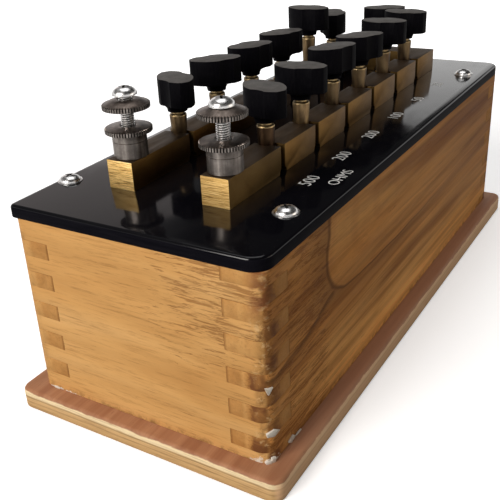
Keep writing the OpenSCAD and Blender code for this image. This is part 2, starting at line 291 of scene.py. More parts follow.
class Recipe:
    """A tree of shader nodes, built node by node."""

    def __init__(self, tree):
        self.tree = tree

    def feed(self, socket, value):
        """Links a socket to another node's output, or sets its value."""
        if isinstance(value, bpy.types.NodeSocket):
            self.tree.links.new(value, socket)
        else:
            socket.default_value = value

    def node(self, kind, inputs=(), **settings):
        made = self.tree.nodes.new(kind)
        for setting, value in settings.items():
            setattr(made, setting, value)
        for socket, value in dict(inputs).items():
            self.feed(made.inputs[socket], value)
        return made

    def split(self, vector):
        return self.node("ShaderNodeSeparateXYZ", {0: vector}).outputs[:]

    def vector(self, operation, a, b):
        return self.node("ShaderNodeVectorMath", {0: a, 1: b}, operation=operation).outputs[0]

    def math(self, operation, a, b=0.0):
        return self.node("ShaderNodeMath", {0: a, 1: b}, operation=operation).outputs[0]

    def times(self, value, *factors):
        """The product of two or more numbers."""
        for factor in factors:
            value = self.math("MULTIPLY", value, factor)
        return value

    def fit(self, value, gain, offset):
        """A number times its gain, plus an offset."""
        made = self.node("ShaderNodeMath", {0: value, 1: gain, 2: offset}, operation="MULTIPLY_ADD")
        return made.outputs[0]

    def step(self, value, low, high):
        """0 at low, 1 at high, smooth between and level beyond; low may be the larger."""
        made = self.node("ShaderNodeMapRange", {"Value": value, "From Min": low, "From Max": high},
                         interpolation_type="SMOOTHSTEP")
        return made.outputs["Result"]

    def mix(self, factor, a, b):
        """A number between a and b."""
        return self.node("ShaderNodeMix", {0: factor, 2: a, 3: b}).outputs[0]

    def blend(self, factor, a, b, mode="MIX"):
        """A colour between a and b, or between a and a times b."""
        made = self.node("ShaderNodeMix", data_type="RGBA", blend_type=mode)
        for socket, value in ((0, factor), (6, a), (7, b)):
            if isinstance(value, tuple) and len(value) == 3:
                value = (*value, 1.0)
            self.feed(made.inputs[socket], value)
        return made.outputs[2]

    def ramp(self, factor, stops):
        """Colours laid out along a number."""
        made = self.node("ShaderNodeValToRGB", {"Fac": factor})
        elements = made.color_ramp.elements
        while len(elements) < len(stops):
            elements.new(0.5)
        for element, (position, colour) in zip(elements, stops):
            element.position = position
            element.color = (*colour, 1.0)
        return made.outputs["Color"]


# %% A recipe for one material
PER_METRE = 1 / MM
SHIFT_SHARES = (1.0, 0.7, 1.3)


class Finish(Recipe):
    """One procedural material, which knows its place on the box in mm and which way it faces."""

    def __init__(self, name, roughness=0.5, metallic=0.0, specular=0.5):
        self.material = bpy.data.materials.new(name)
        self.material.use_nodes = True
        super().__init__(self.material.node_tree)
        self.surface = self.tree.nodes["Principled BSDF"]
        self.set("Roughness", roughness)
        self.set("Metallic", metallic)
        self.set("Specular IOR Level", specular)
        coordinates = self.node("ShaderNodeTexCoord").outputs["Object"]
        self.place = self.vector("MULTIPLY", coordinates, (PER_METRE, PER_METRE, PER_METRE))
        self.x, self.y, self.z = self.split(self.place)
        self.facing = self.split(self.node("ShaderNodeNewGeometry").outputs["Normal"])

    def set(self, socket, value):
        self.feed(self.surface.inputs[socket], value)

    def noise(self, stretch, detail=3.0, roughness=0.55, twist=0.0, shift=0.0):
        """Noise whose cells measure 1/stretch mm along each axis."""
        place = self.vector("MULTIPLY", self.place, stretch)
        if shift:
            place = self.vector("ADD", place, [shift * share for share in SHIFT_SHARES])
        made = self.node("ShaderNodeTexNoise", {"Vector": place, "Scale": 1.0, "Detail": detail,
                                                "Roughness": roughness, "Distortion": twist})
        return made.outputs["Fac"]

    def mottle(self, stretch, tones, **grain):
        """Lets the colour wander between tones, and gives back the pattern."""
        pattern = self.noise(stretch, **grain)
        self.set("Base Color", self.ramp(pattern, tones))
        return pattern

    def faces(self, axis, low=0.6, high=0.8):
        """1 on faces that look along an axis, either way."""
        return self.step(self.math("ABSOLUTE", self.facing[axis]), low, high)

    def emboss(self, height, strength, depth):
        """Raises the surface by a pattern, depth in mm."""
        made = self.node("ShaderNodeBump", {"Height": height, "Strength": strength,
                                            "Distance": depth * MM})
        self.set("Normal", made.outputs["Normal"])


print("recipes ready, patterns counted in", MM, "m")

# %% [markdown]
# ### Wood of the case
#
# The walls are a honey-coloured hardwood under thin varnish. The end walls run across the
# box and the long walls along it, so the grain turns with them, and where a finger ends
# its end grain shows: darker, with short pores. Rough dark flecks gather towards the near
# corner on the numbered side, which has also been knocked, stained and glued.

# %% Colours of the walls and sizes of the case
HONEY = (0.640, 0.346, 0.119)
HONEY_PALE = (0.700, 0.400, 0.152)
HONEY_DEEP = (0.565, 0.286, 0.091)
STREAK = (0.24, 0.092, 0.024)
END_PALE = (0.48, 0.225, 0.066)
END_DARK = (0.20, 0.078, 0.028)
FIBRE_TONES = ((0.24, (0.52, 0.44, 0.36)), (0.47, (1.0, 1.0, 1.0)), (0.78, (1.10, 1.09, 1.08)))
# soil in the corners, and painted shade at the foot of the walls
SOIL_AND_SHADE = (0.15, 0.062, 0.022)
BASE_THICK = 8.5
CASE_HALF_L = 127.0
CASE_HALF_W = 50.75
WALL = 15.0
print("case", 2 * CASE_HALF_L, "by", 2 * CASE_HALF_W, "mm, on a base of", BASE_THICK, "mm")

# %% Marks at the near corner
WORN_PALE = (0.80, 0.56, 0.28)
STAIN = (0.24, 0.075, 0.035)
GLUE_WHITE = (0.80, 0.75, 0.66)


def corner_marks(wood, colour):
    """Wear, a stain and dried glue at the near corner on the numbered side."""
    from_end = wood.math("ADD", wood.x, CASE_HALF_L)
    from_side = wood.math("ADD", wood.y, CASE_HALF_W)
    from_base = wood.math("SUBTRACT", wood.z, BASE_THICK)
    corner = wood.times(wood.step(from_end, 5.5, 1.5), wood.step(from_side, 7.0, 2.0))
    rubbed = wood.noise((0.35, 0.35, 0.45), detail=4, roughness=0.65, shift=17.0)
    rubbed = wood.times(wood.step(rubbed, 0.54, 0.66), corner, 0.55)
    colour = wood.blend(rubbed, colour, WORN_PALE)
    blot = wood.noise((0.16, 0.16, 0.30), detail=4, roughness=0.6, shift=23.0)
    stain = wood.times(wood.step(wood.z, 61.0, 69.0), wood.step(blot, 0.38, 0.56), corner, 0.65)
    colour = wood.blend(stain, colour, STAIN)
    # glue lies at the foot of the corner and along part of the front seam
    crumbs = wood.noise((0.55, 0.55, 0.55), detail=5, roughness=0.7, shift=31.0)
    foot = wood.times(wood.step(from_base, 5.0, 0.0), wood.step(from_end, 13.0, 3.0),
                      wood.step(from_side, 14.0, 3.0))
    seam = wood.times(wood.step(from_base, 1.6, 0.2), wood.step(from_end, 1.0, 0.0),
                      wood.step(wood.y, 18.0, 40.0))
    spread = wood.math("MAXIMUM", foot, seam)
    glue = wood.step(wood.math("ADD", crumbs, wood.fit(spread, 0.42, -0.42)), 0.36, 0.48)
    return wood.blend(wood.times(glue, 0.9), colour, GLUE_WHITE)


# %% Ends of the fingers, soil and painted shade


def end_grain(wood, along):
    """The end of a finger that comes through. On the plain side of the end wall only its
    inner half is darker; on the numbered side the lower fingers are dark at both ends."""
    across = wood.math("ABSOLUTE", (wood.y, wood.x)[along])
    inside = (CASE_HALF_W, CASE_HALF_L)[along] - WALL
    patchy = wood.noise((0.13, 0.13, 0.16), detail=3, twist=0.6, shift=5.0)
    pores = wood.noise((1.1, 1.1, 1.4), detail=4, roughness=0.65, shift=1.0)
    ragged = wood.math("ADD", across, wood.fit(pores, 2.4, -1.2))
    if along:
        depth = wood.fit(wood.step(ragged, inside + 4.0, inside + 11.0), 0.40, 0.50)
    else:
        lower = wood.step(wood.z, 52.0, 43.0)
        inner = wood.times(wood.step(ragged, inside + 6.5, inside + 5.0), wood.fit(lower, 0.28, 0.25))
        outer = wood.times(wood.step(ragged, inside + 5.5, inside + 9.5), wood.fit(lower, 0.65, 0.30))
        plain = wood.times(wood.step(ragged, inside + 9.0, inside + 7.0), 0.42)
        depth = wood.mix(wood.step(wood.y, 5.0, -5.0), plain, wood.math("ADD", inner, outer))
    depth = wood.math("ADD", depth, wood.fit(patchy, 1.1, -0.55))
    end = wood.ramp(depth, [(0.05, HONEY), (0.40, HONEY_DEEP), (0.70, END_PALE), (1.0, END_DARK)])
    end = wood.blend(wood.times(wood.step(pores, 0.52, 0.70), 0.22), end, END_DARK)
    rim = wood.step(across, inside + 1.0, inside + 0.4)
    return wood.blend(wood.times(rim, 0.20 if along else 0.45), end, STREAK)


def soil_and_joint_shade(wood, along, colour):
    """Darkens the foot of the wall with specks, a painted shade in the joint, and soils the worn upright
    corners.
    """
    edge = wood.math("ABSOLUTE", (wood.x, wood.y)[along])
    reach = (CASE_HALF_L, CASE_HALF_W)[along]
    soil = wood.noise((0.25, 0.25, 0.20), detail=5, roughness=0.7, shift=9.0)
    low = wood.step(wood.z, 12.0, 8.6)
    worn = wood.times(wood.step(edge, reach - 7.0, reach - 1.0), wood.fit(wood.faces(along), -0.75, 1.0))
    # the band at the foot is painted shade in the joint; the corners carry soil
    dirt_and_shade = wood.times(wood.math("MAXIMUM", low, worn), wood.step(soil, 0.42, 0.66), 0.62)
    return wood.blend(dirt_and_shade, colour, SOIL_AND_SHADE)


# %% Wall wood


def wall_wood(name, along, figured):
    """Varnished wood with its grain along X (0) or Y (1)."""
    wood = Finish(name, specular=0.06)

    def grain(long, cross):
        stretch = [cross, cross, cross]
        stretch[along] = long
        return tuple(stretch)

    broad = wood.noise(grain(0.010, 0.055), detail=3, twist=0.6)
    fibre = wood.noise(grain(0.085, 1.5), detail=5, roughness=0.70)
    colour = wood.ramp(broad, [(0.32, HONEY_DEEP), (0.50, HONEY), (0.70, HONEY_PALE)])
    strength = 0.8 if along else wood.fit(wood.step(wood.x, -90.0, 10.0), -0.45, 0.8)
    colour = wood.blend(strength, colour, wood.ramp(fibre, FIBRE_TONES), "MULTIPLY")
    # rough dark flecks: on the end walls high up on the numbered side, on the long walls
    # between the near corner and the crease
    if along:
        rough = wood.times(wood.step(wood.y, 25.0, -38.0),
                           wood.fit(wood.step(wood.z, 32.0, 56.0), 0.7, 0.3))
    else:
        rough = wood.fit(wood.step(wood.x, -74.0, -88.0), 0.85, 0.1)
    flecks = wood.noise(grain(0.085, 1.0), detail=5, roughness=0.74, twist=0.5, shift=3.0)
    limit = wood.fit(rough, -0.165, 0.66)
    fleck = wood.step(wood.math("SUBTRACT", flecks, limit), 0.0, 0.06)
    colour = wood.blend(wood.times(fleck, 0.62), colour, STREAK)
    if figured:
        colour = grain_figure(wood, colour)
    colour = wood.blend(wood.faces(along), colour, end_grain(wood, along))
    colour = soil_and_joint_shade(wood, along, colour)
    wood.set("Base Color", corner_marks(wood, colour))
    wood.set("Roughness", wood.fit(fibre, 0.30, 0.40))
    wood.emboss(wood.math("SUBTRACT", fibre, wood.times(fleck, 0.8)), 0.5, 0.18)
    return wood


# %% [markdown]
# The long wall in the photograph carries a growth-ring figure. A dark crease comes down from
# the panel about a fifth of the way along, turns a corner and runs off towards the far end;
# a second line runs up to meet it from the near corner. The turning line is a ring of a
# squashed, square-shouldered distance from one centre, and the second line is a curve whose
# height depends on the place along the wall.

# %% Growth-ring figure of the long walls
FIGURE_X, FIGURE_Z = 63.5, 96.0
FIGURE_REACH_X, FIGURE_REACH_Z = 145.5, 50.7
FIGURE_SQUARE = 10.0
RING_STAIN = (0.10, 0.036, 0.012)
RING_RED = (0.33, 0.115, 0.035)
STREAK_TONES = ((0.34, (0.60, 0.50, 0.42)), (0.50, (1.0, 0.97, 0.93)), (0.68, (1.16, 1.10, 1.02)))
SWEEP_TONES = ((0.38, (0.48, 0.38, 0.31)), (0.50, (1.0, 0.98, 0.96)), (0.64, (1.26, 1.20, 1.10)))
TONE_STRENGTH = 0.85
# painted shade high on the long walls and painted light low on them
UPPER_PAINTED_SHADE, LOWER_PAINTED_LIGHT = (0.87, 0.82, 0.77), (1.26, 1.27, 1.26)
NEAR_TINT, FAR_TINT = (0.87, 0.84, 0.82), (0.86, 0.84, 0.80)


def grain_figure(wood, colour):
    """The crease, the line that meets it, and the streaks and tints around them."""
    wander = wood.math("SUBTRACT", wood.noise((0.03, 0.05, 0.05), detail=3, shift=11.0), 0.5)
    out = wood.math("DIVIDE", wood.math("SUBTRACT", wood.x, FIGURE_X), FIGURE_REACH_X)
    down = wood.math("DIVIDE", wood.math("SUBTRACT", wood.z, FIGURE_Z), FIGURE_REACH_Z)
    powers = wood.math("ADD", wood.math("POWER", wood.math("ABSOLUTE", out), FIGURE_SQUARE),
                       wood.math("POWER", wood.math("ABSOLUTE", down), FIGURE_SQUARE))
    ring = wood.math("POWER", powers, 1.0 / FIGURE_SQUARE)
    ring = wood.math("ADD", ring, wood.times(wander, 0.05))
    # long streaks, a painted light on the lower wall and a painted shade on its upper part, and broad tints
    # along the wall
    streaks = wood.noise((0.006, 0.20, 0.20), detail=4, roughness=0.6, twist=0.5, shift=14.0)
    sweep = wood.noise((0.004, 0.085, 0.085), detail=3, roughness=0.5, twist=0.4, shift=21.0)
    for pattern, tones in ((streaks, STREAK_TONES), (sweep, SWEEP_TONES)):
        colour = wood.blend(TONE_STRENGTH, colour, wood.ramp(pattern, tones), "MULTIPLY")
    colour = wood.blend(wood.times(wood.step(wood.x, -70.0, 60.0), 0.10), colour, RING_RED)
    tint = wood.blend(wood.step(wood.z, 44.0, 16.0), UPPER_PAINTED_SHADE, LOWER_PAINTED_LIGHT)
    colour = wood.blend(1.0, colour, tint, "MULTIPLY")
    colour = wood.blend(wood.step(wood.x, 10.0, 90.0), colour, FAR_TINT, "MULTIPLY")
    colour = wood.blend(wood.step(wood.x, -78.0, -98.0), colour, NEAR_TINT, "MULTIPLY")
    # broad bands that follow the figure
    bands = wood.math("SINE", wood.times(ring, 46.0))
    colour = wood.blend(wood.times(wood.step(bands, 0.2, 1.0), 0.14), colour, RING_RED)
    # the crease itself, sharp outside and soft inside, fading towards the far end
    off = wood.math("SUBTRACT", ring, 1.0)
    fade = wood.step(wood.x, 70.0, -30.0)
    soft = wood.times(wood.step(off, 0.16, 0.0), wood.step(off, -0.006, 0.004), fade, 0.48)
    sharp = wood.times(wood.step(off, -0.012, 0.0), wood.step(off, 0.014, 0.003), fade, 0.65)
    # the line that runs up to it from the near corner
    rise = wood.fit(wood.step(wood.x, -108.0, -77.0), 8.5, 41.5)
    gap = wood.math("SUBTRACT", wood.z, wood.math("ADD", rise, wood.times(wander, 5.0)))
    line = wood.times(wood.step(gap, 1.0, 0.0), wood.step(gap, -4.5, 0.0),
                      wood.step(wood.x, -76.0, -80.0), 0.7)
    for mark in (soft, sharp, line):
        colour = wood.blend(mark, colour, RING_STAIN)
    return colour


end_wood = wall_wood("honey_wood_across", 1, False)
side_wood = wall_wood("honey_wood_along", 0, True)
print("wall woods mixed")

# %% [markdown]
# ### Plywood base
#
# The base is plywood with a reddish, worn face. Its cut edge shows the layers: a pale one
# under the face, a thin dark glue line, and tan layers below. The layers are bands of
# height, a little uneven.

# %% Plywood
PLY_FACE = (0.335, 0.147, 0.074)
PLY_FACE_WORN = (0.47, 0.238, 0.125)
PLY_LAYERS = ((0.00, (0.56, 0.32, 0.13)), (0.33, (0.69, 0.44, 0.20)), (0.40, (0.50, 0.29, 0.12)),
              (0.45, (0.68, 0.43, 0.20)), (0.585, (0.70, 0.46, 0.22)), (0.615, (0.47, 0.29, 0.13)),
              (0.655, (0.50, 0.31, 0.14)), (0.70, (0.90, 0.71, 0.43)), (0.93, (0.92, 0.74, 0.46)),
              (0.965, (0.42, 0.20, 0.10)))
PLY_SPECK = (0.16, 0.07, 0.04)
# painted light for the right-hand ledge
PLY_LEDGE_LIGHT = (0.62, 0.36, 0.24)
# painted light for the long edges, and a painted contact shadow at their foot
PLY_EDGE_LIGHT = (0.98, 0.62, 0.36)
PLY_FOOT_SHADOW = (0.16, 0.090, 0.045)
PLY_FIBRE = ((0.30, (0.50, 0.42, 0.34)), (0.52, (1, 1, 1)), (0.75, (1.14, 1.14, 1.12)))


def plywood_finish():
    ply = Finish("plywood", specular=0.12)
    grain = ply.noise((0.012, 0.30, 0.30), detail=4, roughness=0.6, twist=0.5)
    speck = ply.noise((0.16, 0.9, 0.9), detail=4, roughness=0.7, shift=4.0)
    face = ply.ramp(grain, [(0.35, PLY_FACE), (0.75, PLY_FACE_WORN)])
    face = ply.blend(ply.times(ply.step(speck, 0.62, 0.74), 0.55), face, PLY_SPECK)
    # the right-hand ledge is painted paler, a painted light, but not at the near corner
    ledge = ply.times(ply.step(ply.y, -46.0, -50.0), ply.step(ply.x, -130.0, -95.0), 0.32)
    face = ply.blend(ledge, face, PLY_LEDGE_LIGHT)
    waver = ply.noise((0.03, 0.03, 0.2), detail=3, shift=2.0)
    height = ply.math("ADD", ply.fit(waver, 0.10, -0.05), ply.math("DIVIDE", ply.z, BASE_THICK))
    edge = ply.ramp(height, PLY_LAYERS)
    fibre = ply.noise((0.10, 0.10, 2.6), detail=5, roughness=0.72, twist=0.3, shift=6.0)
    edge = ply.blend(0.75, edge, ply.ramp(fibre, PLY_FIBRE), "MULTIPLY")
    # the long edges are painted paler, a painted light, and darker at the foot, a painted contact shadow
    long_edge = ply.faces(1, 0.4, 0.8)
    edge = ply.blend(ply.times(long_edge, 0.65), edge, PLY_EDGE_LIGHT)
    foot = ply.times(long_edge, ply.step(ply.z, 2.5, 0.0), 0.35)
    edge = ply.blend(foot, edge, PLY_FOOT_SHADOW)
    # the face veneer turns over the lip, further in some places than in others
    broken = ply.noise((0.10, 0.10, 0.4), detail=4, roughness=0.65, shift=12.0)
    lip = ply.math("ADD", ply.facing[2], ply.fit(broken, 0.9, -0.45))
    ply.set("Base Color", ply.blend(ply.step(lip, 0.30, 0.55), edge, face))
    ply.set("Roughness", ply.fit(speck, 0.25, 0.36))
    ply.emboss(ply.math("ADD", fibre, speck), 0.3, 0.15)
    return ply


plywood = plywood_finish()
print("plywood mixed")

# %% [markdown]
# ### Black panel and handles
#
# The panel is polished black sheet: almost no colour, a sharp reflection, fine dust and
# rubbed patches that blur it a little. Its cut edges were never polished, so they have a
# finish of their own. The handles are moulded in the same black but left dull, and their
# flat tops are painted grey, a painted sheen.

# %% Black mouldings
SHEET_DEEP, SHEET_HAZY = (0.0028, 0.0026, 0.0038), (0.0062, 0.0056, 0.0060)
SHEET_DUST = (0.14, 0.13, 0.12)
CUT_TONES = ((0.35, (0.0030, 0.0029, 0.0048)), (0.75, (0.0085, 0.0080, 0.0110)))


def panel_finish():
    sheet = Finish("polished_black_sheet", specular=0.27)
    haze = sheet.noise((0.03, 0.045, 0.05), detail=4, roughness=0.6, twist=0.6)
    rub = sheet.noise((0.02, 1.1, 1.0), detail=4, roughness=0.7, shift=3.0)
    dust = sheet.noise((1.6, 1.6, 1.6), detail=2, roughness=0.5, shift=8.0)
    dull = sheet.fit(sheet.step(haze, 0.35, 0.75), 0.10, 0.07)
    streaky = sheet.times(sheet.step(rub, 0.6, 0.75), 0.05)
    sheet.set("Roughness", sheet.math("ADD", dull, streaky))
    colour = sheet.blend(sheet.times(sheet.step(haze, 0.4, 0.8), 0.5), SHEET_DEEP, SHEET_HAZY)
    colour = sheet.blend(sheet.times(sheet.step(dust, 0.735, 0.77), 0.3), colour, SHEET_DUST)
    sheet.set("Base Color", colour)
    return sheet


def panel_edge_finish():
    cut = Finish("cut_black_sheet", specular=0.012)
    marks = cut.mottle((0.06, 0.06, 1.4), CUT_TONES, detail=4, roughness=0.65, shift=2.0)
    cut.set("Roughness", cut.fit(marks, 0.25, 0.30))
    return cut


def handle_finish():
    moulding = Finish("dull_black_moulding", specular=0.035)
    grime = moulding.noise((0.35, 0.35, 0.35), detail=4, roughness=0.6)
    scuff = moulding.noise((1.3, 1.3, 0.35), detail=4, roughness=0.7, shift=5.0)
    # painted sheen: the flat tops are painted grey, mottled by the noise above
    top = moulding.step(moulding.facing[2], 0.75, 0.95)
    grey = moulding.ramp(grime, [(0.3, (0.070, 0.066, 0.062)), (0.7, (0.118, 0.110, 0.104))])
    side = moulding.ramp(scuff, [(0.45, (0.0016, 0.0014, 0.0024)), (0.80, (0.0050, 0.0046, 0.0056))])
    moulding.set("Base Color", moulding.blend(top, side, grey))
    moulding.set("Roughness", moulding.fit(scuff, 0.25, 0.40))
    moulding.emboss(scuff, 0.2, 0.05)
    return moulding


panel_black = panel_finish()
panel_edge = panel_edge_finish()
handle_black = handle_finish()
print("black mouldings mixed")

# %% [markdown]
# ### Brass, nickel and bright plate
#
# The blocks are sawn from brass bar. The two rows' front ends still show the saw, bright and
# lined, the tops have dulled to a greyish bronze, and the flanks are darker. Painted shade
# darkens the far and left flanks and the tarnished faces in the gaps, and painted light
# brightens the left row's sawn ends. The pins are turned, so their marks run round them, and
# a painted highlight brightens their shoulders. The nuts are dull nickel, with grime between
# the teeth and painted shade on what faces up, and the screws are bright plate.

# %% Brass of the blocks
ROW_FRONT = -99.3
SAWN_TONES = ((0.36, (0.25, 0.13, 0.035)), (0.49, (0.70, 0.465, 0.165)), (0.64, (0.90, 0.70, 0.34)))
# painted light and shade: sawn ends by row, and flanks far along and in the left row
SAWN_RIGHT_SHADE, SAWN_LEFT_LIGHT = (0.87, 0.83, 0.78), (1.15, 1.15, 1.15)
FLANK_FAR_SHADE, FLANK_LEFT_SHADE = (0.80, 0.74, 0.68), (0.45, 0.40, 0.34)
# tarnish with painted shade for the faces in the gaps
GAP_TARNISH_AND_SHADE = (0.105, 0.062, 0.021)


def block_finish():
    brass = Finish("sawn_brass", metallic=1.0)
    brush = brass.noise((0.05, 2.6, 2.6), detail=4, roughness=0.65)
    tarnish = brass.noise((0.10, 0.13, 0.13), detail=4, roughness=0.6, twist=0.7, shift=2.0)
    saw = brass.noise((0.5, 0.15, 2.9), detail=4, roughness=0.74, twist=0.3, shift=4.0)
    flank = brass.ramp(tarnish, [(0.30, (0.22, 0.127, 0.040)), (0.70, (0.315, 0.195, 0.068))])
    top = brass.ramp(tarnish, [(0.30, (0.082, 0.055, 0.034)), (0.70, (0.128, 0.086, 0.054))])
    cut = brass.ramp(saw, SAWN_TONES)
    # painted shade darkens the flanks of the far blocks and of the left row, and painted light makes the
    # left row's sawn ends brighter than the right row's
    left_row = brass.step(brass.y, -5.0, 5.0)
    flank = brass.blend(brass.step(brass.x, -64.0, -58.0), flank, FLANK_FAR_SHADE, "MULTIPLY")
    flank = brass.blend(left_row, flank, FLANK_LEFT_SHADE, "MULTIPLY")
    cut = brass.blend(1.0, cut, brass.blend(left_row, SAWN_RIGHT_SHADE, SAWN_LEFT_LIGHT), "MULTIPLY")
    upward = brass.step(brass.facing[2], 0.6, 0.85)
    colour = brass.blend(upward, flank, top)
    # only the rows' front ends were cleaned; the faces in the gaps are darker, tarnish together with
    # painted shade
    front = brass.step(brass.facing[0], -0.6, -0.85)
    colour = brass.blend(front, colour, GAP_TARNISH_AND_SHADE)
    front = brass.times(front, brass.step(brass.x, ROW_FRONT + 4.0, ROW_FRONT + 2.0))
    brass.set("Base Color", brass.blend(front, colour, cut))
    dull = brass.times(brass.math("ADD", front, upward), 0.17)
    brass.set("Roughness", brass.math("ADD", brass.fit(brush, 0.22, 0.33), dull))
    brass.emboss(brass.blend(front, brush, saw), 0.45, 0.10)
    return brass


block_brass = block_finish()
print("block brass mixed")

# %% Brass of the pins
# where along the box a pin stands, and what its colour is multiplied by
FIRST_PIN = (-66.0, -58.0, (0.42, 0.36, 0.38))
SECOND_PIN = (-42.0, -33.0, (1.9, 1.9, 1.8))
PIN_FADE = 2.0


def pin_finish(name, dull, bright, uneven=False):
    brass = Finish(name, metallic=1.0)
    rings = brass.noise((0.05, 0.05, 5.0), detail=3, roughness=0.6)
    tarnish = brass.noise((0.3, 0.3, 0.12), detail=4, roughness=0.6, shift=2.0)
    colour = brass.ramp(tarnish, [(0.32, dull), (0.72, bright)])
    if uneven:
        # in the right row the first pin has gone dark and the second is rubbed bright
        right_row = brass.step(brass.y, 5.0, -5.0)
        for start, end, change in (FIRST_PIN, SECOND_PIN):
            within = brass.times(brass.step(brass.x, start - PIN_FADE, start),
                                 brass.step(brass.x, end + PIN_FADE, end), right_row)
            colour = brass.blend(within, colour, change, "MULTIPLY")
    brass.set("Base Color", colour)
    brass.set("Roughness", brass.fit(tarnish, 0.25, 0.26))
    brass.emboss(rings, 0.05, 0.02)
    return brass


pin_brass = pin_finish("turned_brass", (0.085, 0.055, 0.032), (0.230, 0.160, 0.082), uneven=True)
# the shoulders are painted brighter, a painted highlight
shoulder_highlight = pin_finish("painted_highlight_brass", (0.22, 0.155, 0.078), (0.50, 0.370, 0.190))
print("pin brass mixed")

# %% Nickel, plate and grime
NICKEL_TONES = ((0.30, (0.115, 0.100, 0.090)), (0.52, (0.215, 0.190, 0.173)), (0.75, (0.40, 0.365, 0.335)))
# painted shade for the faces of the nuts that look up
UPWARD_PAINTED_SHADE = (0.74, 0.67, 0.63)
PLATE_TONES = ((0.35, (0.70, 0.69, 0.68)), (0.70, (0.92, 0.91, 0.90)))
GRIME_TONES = ((0.35, (0.020, 0.018, 0.016)), (0.70, (0.075, 0.068, 0.060)))


def nickel_finish():
    nickel = Finish("dull_nickel", metallic=1.0)
    cloud = nickel.noise((0.35, 0.35, 0.35), detail=5, roughness=0.65)
    fine = nickel.noise((2.5, 2.5, 0.6), detail=3, roughness=0.6, shift=5.0)
    upright = nickel.noise((0.42, 0.42, 0.02), detail=3, roughness=0.6, shift=9.0)
    cloud = nickel.math("ADD", nickel.times(cloud, 0.55), nickel.fit(upright, 0.9, -0.225))
    colour = nickel.ramp(cloud, NICKEL_TONES)
    # what faces up is painted darker, a painted shade
    upward = nickel.step(nickel.facing[2], 0.3, 0.7)
    nickel.set("Base Color", nickel.blend(upward, colour, UPWARD_PAINTED_SHADE, "MULTIPLY"))
    nickel.set("Roughness", nickel.fit(fine, 0.25, 0.26))
    nickel.emboss(fine, 0.25, 0.05)
    return nickel


nut_nickel = nickel_finish()
screw_plate = Finish("bright_plate", metallic=1.0)
wear = screw_plate.mottle((0.8, 0.8, 0.8), PLATE_TONES, detail=4, roughness=0.6)
screw_plate.set("Roughness", screw_plate.fit(wear, 0.30, 0.14))
caked_grime = Finish("caked_grime", roughness=0.6, metallic=0.7)
caked_grime.mottle((1.5, 1.5, 1.5), GRIME_TONES, detail=3)
print("nickel, plate and grime mixed")

# %% [markdown]
# ## The case
#
# The walls are copies of the CAD pieces with their corners eased. The narrow bevel runs round
# every finger, so each joint shows as a fine groove, as the real one does where the varnish
# has sunk. The panel and the base are new plates, because their corners are rounder: a cube
# is flattened, its upright corners are rounded, then the rims.

# %% Walls
WALL_EASE = 0.22 * MM
WALLS = (("front", "end_wood", end_wood), ("rear", "end_wood", end_wood),
         ("left", "side_wood", side_wood), ("right", "side_wood", side_wood))
for side, slot, wood in WALLS:
    wall = softened(f"{side}_wall", f"wall_{side}", WALL_EASE)
    mount(wall, "case", slot, wood, f"{side}_wall")
print("walls eased")

# %% Plates with rounded corners
CORNER_STEPS = 14
RIM_STEPS = 4
POLISHED = 0.3


def plate(node, name, right_corner, left_corner, top_ease, foot_ease):
    """A slab the size of a node; right is the numbered side."""
    low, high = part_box(node)
    drop_all()
    bpy.ops.mesh.primitive_cube_add(size=1, location=(low + high) / 2)
    piece = bpy.context.object
    piece.name = piece.data.name = name
    piece.scale = high - low
    bpy.ops.object.transform_apply()
    for side, corner in ((-1, right_corner), (1, left_corner)):
        choose(piece, "edges", lambda ends: abs(ends[0].z - ends[1].z) > MM and ends[0].y * side > 0)
        bpy.ops.mesh.bevel(offset=corner, segments=CORNER_STEPS, affect="EDGES")
    for height, ease in ((high.z, top_ease), (low.z, foot_ease)):
        choose(piece, "edges", lambda ends: all(abs(p.z - height) < TOUCHING for p in ends))
        bpy.ops.mesh.bevel(offset=ease, segments=RIM_STEPS, affect="EDGES")
    close_up(piece)
    smooth(piece)
    return piece


def second_finish(piece, finish, test):
    """Gives the faces that pass the test another finish."""
    piece.data.materials.append(finish.material)
    for face in piece.data.polygons:
        if test(face):
            face.material_index = 1


base = plate("base_board", "board_base", right_corner=4.5 * MM, left_corner=4.5 * MM,
             top_ease=1.6 * MM, foot_ease=0.8 * MM)
mount(base, "case", "plywood", plywood, "base_board")
panel = plate("panel", "panel_sheet", right_corner=7 * MM, left_corner=2 * MM,
              top_ease=1.2 * MM, foot_ease=0.4 * MM)
mount(panel, "case", "panel_black", panel_black, "panel")
second_finish(panel, panel_edge, lambda face: face.normal.z < POLISHED)
PANEL_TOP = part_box("panel")[1].z
print("plates made; panel top at", round(PANEL_TOP, 5))

# %% [markdown]
# ## Brass blocks and plug handles
#
# The blocks keep their CAD shape with its split tapered sockets and the undercut at the
# foot of each gap; only the edges are eased, as a file would. The handles are eased more,
# because a moulding comes out of its tool with soft edges.

# %% Blocks
BLOCK_EASE = 0.22 * MM
for row in ROWS:
    for k in BLOCKS:
        block = softened(f"{row}_block_{k}", f"block_{row}_{k}", BLOCK_EASE)
        mount(block, "case", "brass_block", block_brass, f"{row}_block_{k}")
print("blocks eased")

# %% Handles
HANDLE_EASE = 0.45 * MM
PLUGS = [f"{row}_plug_{k}" for row in ROWS for k in GAPS] + ["end_plug"]
for plug in PLUGS:
    grip = softened(f"{plug}_handle", f"grip_{plug}", HANDLE_EASE, segments=3)
    mount(grip, plug, "handle_black", handle_black, f"{plug}_handle")
print("handles eased:", len(PLUGS))

# %% [markdown]
# ## Plug pins
#
# One pin is turned on the lathe: a rounded tip, the long taper that wedges between two
# blocks, a rounded shoulder and the thinner neck that enters the handle. It is copied into
# every plug.

# %% Pins
pin_low, pin_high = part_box("end_plug_pin")
